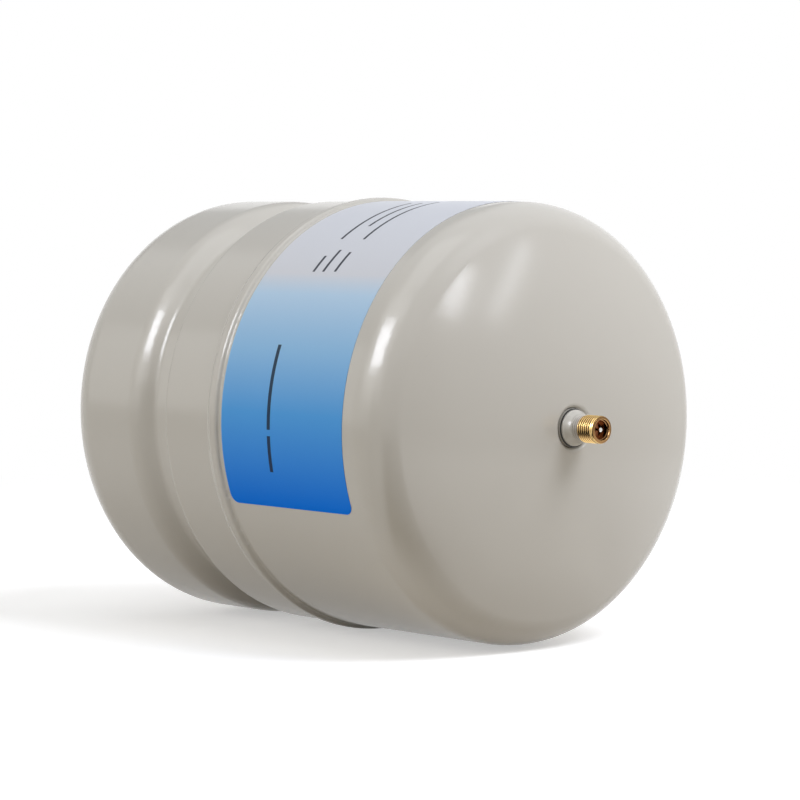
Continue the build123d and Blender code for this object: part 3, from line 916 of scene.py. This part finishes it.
class TANK_OT_valve_stem(bpy.types.Operator):
    """Turns the valve stem with its thread, and finishes its bush and nut"""

    bl_idname = "tank.valve_stem"
    bl_label = "Valve stem"

    def execute(self, context):
        valve, body = context.scene.tank_valve, context.scene.tank_body
        piece = place_mesh("threaded_stem", self.stem(valve))
        ride_for(piece, "valve_stem")
        stem_finish(valve, body).cover(piece)
        bush_finish(valve, body).cover(NODES["valve_seal"])
        turned_metal("nut_brass", valve.brass, rough=(0.2, 0.36)).cover(NODES["valve_nut"])
        return {"FINISHED"}

    def stem(self, valve):
        segments = 144
        dome, tip, tail = BODY_HIGH.x, STEM_HIGH.x, STEM_LOW.x
        crest, bore, collar, nose = STEM_CREST, STEM_BORE, STEM_HIGH.z, valve.nose_radius
        shank, shank_edge, mouth, air_way = 0.00395, 0.0003, 0.00285, 0.00205
        face_dip, face_step, mouth_edge = 0.00002, 0.00012, 0.00022
        cone_start, cone_end = tip - 0.0007, tip - 0.0008
        seat, seat_cone = tip - 0.006, 0.0013
        collar_back, back_edge, collar_front, front_edge = 0.001, 0.0001, 0.00045, 0.0003
        neck, neck_drop, foot, foot_rise = 0.0012, 0.00055, 0.0004, 0.0001
        thread_start = dome + valve.thread_foot
        thread_end = tip - valve.nose_length
        mesh = bmesh.new()
        cut_thread(
            mesh, thread_start, thread_end, crest, valve.thread_depth, valve.thread_pitch,
            SHARP_FORM, segments,
        )
        line = [(thread_end, crest), (tip - nose, crest)]
        line += arc((tip - nose, crest - nose), nose, 90, 20, 6)[1:]
        line += [(tip - face_dip, crest - nose - face_step)]
        line += arc((tip - mouth_edge, mouth + mouth_edge), mouth_edge, 0, -60, 4)
        line += [(cone_start, mouth - face_step), (cone_end, bore)]
        line += [(seat, bore), (seat - seat_cone, air_way), (tail, air_way)]
        line += [(tail, shank - shank_edge), (tail + shank_edge, shank)]
        line += [(dome - collar_back, shank), (dome - collar_back, collar - back_edge)]
        line += [(dome - collar_back + back_edge, collar)]
        line += arc((dome + collar_front, collar - front_edge), front_edge, 90, 15, 5)
        line += [(dome + neck, collar - neck_drop), (thread_start - foot, crest + foot_rise)]
        line += [(thread_start, crest)]
        turn_profile(mesh, line, segments)
        return mesh


class TANK_OT_valve_core(bpy.types.Operator):
    """Finishes the valve core and winds its spring"""

    bl_idname = "tank.valve_core"
    bl_label = "Valve core"

    def execute(self, context):
        valve = context.scene.tank_valve
        # The core lies deep in the stem's mouth and takes its painted shade colour.
        turned_metal("core_brass", valve.mouth_shade, rough=(0.18, 0.3), groove=0.00008).cover(
            NODES["core_plug"], NODES["core_barrel"], NODES["core_cup"]
        )
        nickel = turned_metal(
            "bright_nickel", (0.70, 0.69, 0.66), rough=(0.12, 0.22), groove=0.00006
        )
        nickel.cover(NODES["core_pin"])
        moulded("red_seal", (0.55, 0.06, 0.04), rough=(0.3, 0.42)).cover(NODES["core_seal"])
        piece = place_mesh("wound_spring", self.spring())
        ride_for(piece, "core_spring")
        nickel.cover(piece)
        joint = next(j for j in frame["joints"] if j["name"] == "pin_press")
        height = SPRING_HIGH.x - SPRING_LOW.x
        travel = joint["range_m"][1] - joint["range_m"][0]
        1 - travel / height
        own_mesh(piece)
        return {"FINISHED"}

    def spring(self):
        """A coil with closed ends, wound between its two seats."""
        wire, turns, closed_turns = 0.00014, 6.0, 0.9
        steps_per_turn, sides = 40, 10
        coil = SPRING_HIGH.z - wire
        low, high = SPRING_LOW.x + wire, SPRING_HIGH.x - wire
        free = high - low - 4 * closed_turns * wire
        mesh = bmesh.new()
        rings = []
        for step in range(round(turns * steps_per_turn) + 1):
            done = step / steps_per_turn
            turn = math.tau * done
            open_share = min(1, max(0, (done - closed_turns) / (turns - 2 * closed_turns)))
            closed = min(done, closed_turns) + max(0, done - turns + closed_turns)
            centre = Vector(ring_point(low + 2 * wire * closed + free * open_share, coil, turn))
            outwards = Vector((0, math.cos(turn), math.sin(turn)))
            along = Vector((1, 0, 0))
            rings.append([
                mesh.verts.new(centre + wire * (outwards * math.cos(a) + along * math.sin(a)))
                for a in (math.tau * side / sides for side in range(sides))
            ])
        join_rings(mesh, rings)
        mesh.faces.new(rings[0])
        mesh.faces.new(rings[-1])
        return mesh


class TANK_OT_label(bpy.types.Operator):
    """Prints the label film"""

    bl_idname = "tank.label"
    bl_label = "Label"

    def execute(self, context):
        label_finish(context.scene.tank_label).cover(NODES["label"])
        return {"FINISHED"}


class TANK_OT_stage(bpy.types.Operator):
    """Sets the floor, the camera and the studio lights"""

    bl_idname = "tank.stage"
    bl_label = "Stage"

    def execute(self, context):
        stage = context.scene.tank_stage
        self.camera(context.scene, stage)
        self.floor(stage)
        self.cards()
        self.surround(context.scene, stage)
        self.lights()
        context.scene.view_settings.view_transform = "Standard"
        return {"FINISHED"}

    def camera(self, scene, stage):
        camera = bpy.data.objects.new("studio_camera", bpy.data.cameras.new("studio_camera"))
        camera.data.lens = stage.camera_lens
        camera.data.sensor_width = FILM_WIDTH
        camera.data.clip_end = CAMERA_SIGHT
        camera.location = stage.camera_place
        camera.rotation_euler = (math.pi / 2 - stage.camera_pitch, 0, stage.camera_turn)
        scene.collection.objects.link(camera)
        scene.camera = camera

    def floor(self, stage):
        """A wide floor that looks white to the camera and keeps the tank's shadow."""
        piece = self.sheet("studio_floor", -STAGE_REACH, STAGE_REACH, STAGE_REACH, FLOOR_HEIGHT)
        finish = Finish("floor_paper", roughness=0.9, specular_ior_level=0.0)
        seen = finish.seen()
        x, y, _ = finish.axes()
        away = ((x - TANK_MIDDLE) * (x - TANK_MIDDLE) + y * y) ** 0.5
        far = away.rise(stage.shadow_reach, stage.white_reach)
        black, white = (0, 0, 0), (1, 1, 1)
        near_paper, near_glow = (stage.shadow_depth,) * 3, (stage.floor_glow,) * 3
        finish.shade(
            base_color=finish.mix(seen, stage.floor_colour, finish.mix(far, near_paper, black)),
            emission_color=finish.mix(seen, black, finish.mix(far, near_glow, white)),
            emission_strength=1.0,
        )
        finish.cover(piece)

    def sheet(self, name, low, high, across, height):
        """A level sheet at the given height."""
        mesh = bmesh.new()
        corners = [(low, -across), (high, -across), (high, across), (low, across)]
        mesh.faces.new([mesh.verts.new((x, y, height)) for x, y in corners])
        piece = place_mesh(name, mesh)
        return piece

    def cards(self):
        for name, turns, reaches, heights, fade, glow in CARDS:
            first, last = (math.radians(turn) for turn in turns)
            corners = [(0, first), (1, first), (1, last), (0, last)]
            mesh = bmesh.new()
            mesh.faces.new([
                mesh.verts.new((
                    TANK_MIDDLE + reaches[end] * math.sin(turn),
                    -reaches[end] * math.cos(turn),
                    FLOOR_HEIGHT + heights[end],
                ))
                for end, turn in corners
            ])
            piece = place_mesh(name, mesh)
            self.card_finish(name, turns, reaches[0], fade, glow).cover(piece)
            show_in(piece, camera=False, diffuse=False, shadow=False, transmission=False)

    def card_finish(self, name, turns, reach, fade, glow):
        """Even brightness that fades out at a card's two sides and at its near edge."""
        finish = Finish(
            name, base_color=(0, 0, 0), specular_ior_level=0.0, roughness=1.0,
            emission_color=(1, 1, 1), emission_strength=glow,
        )
        x, y, _ = finish.axes()
        side = x - TANK_MIDDLE
        turn = finish.add("Math", {"operation": "ARCTAN2"}, {0: side, 1: 0 - y})
        blur = math.radians(CARD_FADE)
        shown = turn.within(math.radians(turns[0]) + blur, math.radians(turns[1]) - blur, blur)
        if fade:
            shown = shown * ((side * side + y * y) ** 0.5).rise(reach, reach + fade)
        finish.shade(alpha=shown)
        return finish

    def surround(self, scene, stage):
        """Plain light from all round, which looks white to the camera."""
        scene.world = bpy.data.worlds.new("studio_room")
        scene.world.use_nodes = True
        wiring = Wiring(scene.world.node_tree)
        shade = wiring.tree.nodes["Background"]
        white = (1, 1, 1)
        wiring.feed(shade.inputs["Color"], wiring.mix(wiring.seen(), stage.surround, white))

    def lights(self):
        for name, turn, height, away, size, roll, power, glossy in LAMPS:
            turn, height, roll = (math.radians(value) for value in (turn, height, roll))
            lamp = self.lamp(name, turn, height, away, size, roll, power)
            show_in(lamp, camera=False, glossy=glossy, diffuse=not name.endswith(HIGHLIGHT_ENDING))

    def lamp(self, name, turn, height, away, size, roll, power):
        light = bpy.data.lights.new(name, "AREA")
        light.shape = "RECTANGLE"
        light.size, light.size_y = size
        light.energy = power
        if name in COOL_LAMPS:
            light.color = COOL_LIGHT
        out = Vector((
            math.sin(turn) * math.cos(height), -math.cos(turn) * math.cos(height), math.sin(height)
        ))
        lamp = bpy.data.objects.new(name, light)
        lamp.location = Vector((TANK_MIDDLE, 0, 0)) + out * away
        aim = (-out).to_track_quat("-Z", "Y") @ Quaternion((0, 0, 1), roll)
        lamp.rotation_euler = aim.to_euler()
        bpy.context.scene.collection.objects.link(lamp)
        return lamp


def show_in(piece, **rays):
    """Sets which rays meet a lamp or a card."""
    for ray, meets in rays.items():
        setattr(piece, "visible_" + ray, meets)


OPERATORS = (
    TANK_OT_stage,
    TANK_OT_body,
    TANK_OT_seam,
    TANK_OT_connection,
    TANK_OT_inside,
    TANK_OT_valve_stem,
    TANK_OT_valve_core,
    TANK_OT_label,
)


class TANK_PT_panel(bpy.types.Panel):
    """Lists the tank's pieces in the sidebar"""

    bl_idname = "TANK_PT_panel"
    bl_label = "Expansion tank"
    bl_space_type = "VIEW_3D"
    bl_region_type = "UI"
    bl_category = "Tank"

    def draw(self, context):
        for operator in OPERATORS:
            self.layout.operator(operator.bl_idname)
        for name in SETTINGS:
            group = getattr(context.scene, name)
            box = self.layout.box()
            for key in group.bl_rna.properties.keys():
                if key not in ("rna_type", "name"):
                    box.prop(group, key)


CLASSES = (*SETTINGS.values(), *OPERATORS, TANK_PT_panel)


def register():
    for made in CLASSES:
        bpy.utils.register_class(made)
    for name, group in SETTINGS.items():
        setattr(bpy.types.Scene, name, bpy.props.PointerProperty(type=group))


def unregister():
    for name in SETTINGS:
        delattr(bpy.types.Scene, name)
    for made in reversed(CLASSES):
        bpy.utils.unregister_class(made)


def main():
    register()
    for operator in OPERATORS:
        family, action = operator.bl_idname.split(".")
        getattr(getattr(bpy.ops, family), action)()


if __name__ == "__main__":
    main()
